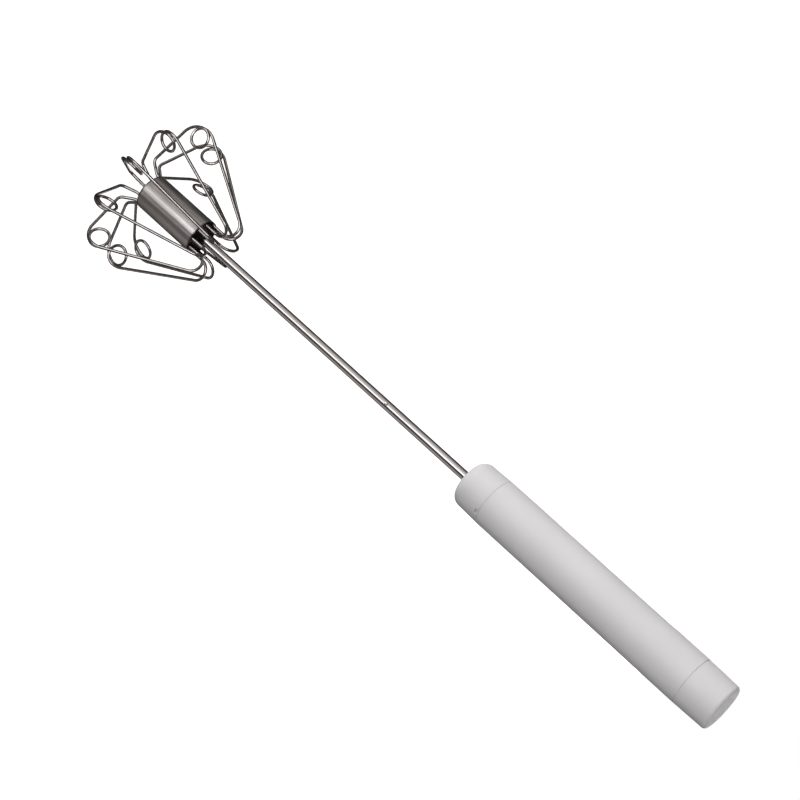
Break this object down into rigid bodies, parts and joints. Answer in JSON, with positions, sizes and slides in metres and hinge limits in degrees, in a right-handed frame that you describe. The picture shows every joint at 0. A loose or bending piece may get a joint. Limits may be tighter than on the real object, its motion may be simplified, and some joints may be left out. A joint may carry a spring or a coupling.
{
  "type": "push action hand whisk",
  "caption": "Push-action hand whisk: pressing the plain white handle down the thin steel shaft spins a round head of looped wire tines.",
  "frame": {"origin": "on the axis, at the level of the lowest wires of the head", "axes": "+Z runs along the shaft from the head to the handle; +X points along the plane of tine_01"},
  "size_m": [0.07, 0.0673, 0.3204],
  "materials": {
    "white_plastic": "matt moulded",
    "bush_plastic": "natural nylon",
    "bumper_rubber": "matt",
    "strip_steel": "rolled strip",
    "spring_steel": "drawn wire",
    "shaft_steel": "polished tube",
    "core_steel": "machined",
    "sleeve_steel": "satin",
    "wire_steel": "drawn and polished wire"
  },
  "bodies": {
    "handle": {"front_collar": "white_plastic", "guide_bush": "bush_plastic", "stop_bumper": "bumper_rubber", "grip_sleeve": "white_plastic", "rear_cap": "white_plastic", "twist_strip": "strip_steel", "strip_pin": "strip_steel", "return_spring": "spring_steel"},
    "slider": {"spring_seat": "spring_steel", "thrust_washer": "bush_plastic"},
    "rotor": {"shaft_tube": "shaft_steel", "drive_nut": "bush_plastic", "hub_core": "core_steel", "hub_sleeve": "sleeve_steel", "tine_01": "wire_steel", "tine_02": "wire_steel", "tine_03": "wire_steel", "tine_04": "wire_steel", "tine_05": "wire_steel", "tine_06": "wire_steel", "tine_07": "wire_steel", "tine_08": "wire_steel", "tine_09": "wire_steel", "tine_10": "wire_steel"}
  },
  "joints": [
    {"name": "press", "type": "slide", "parent": "handle", "child": "slider", "axis": [0, 0, 1], "range_m": [0, 0.06], "stiffness_N_per_m": 120, "springref_m": -0.02, "deforming": ["return_spring"]},
    {"name": "spin", "type": "hinge", "parent": "slider", "child": "rotor", "pos_m": [0, 0, 0.2], "axis": [0, 0, 1], "range_deg": [0, 900]}
  ],
  "couplings": [
    {"joint": "spin", "follows": "press", "rad_per_m": 261.8}
  ]
}
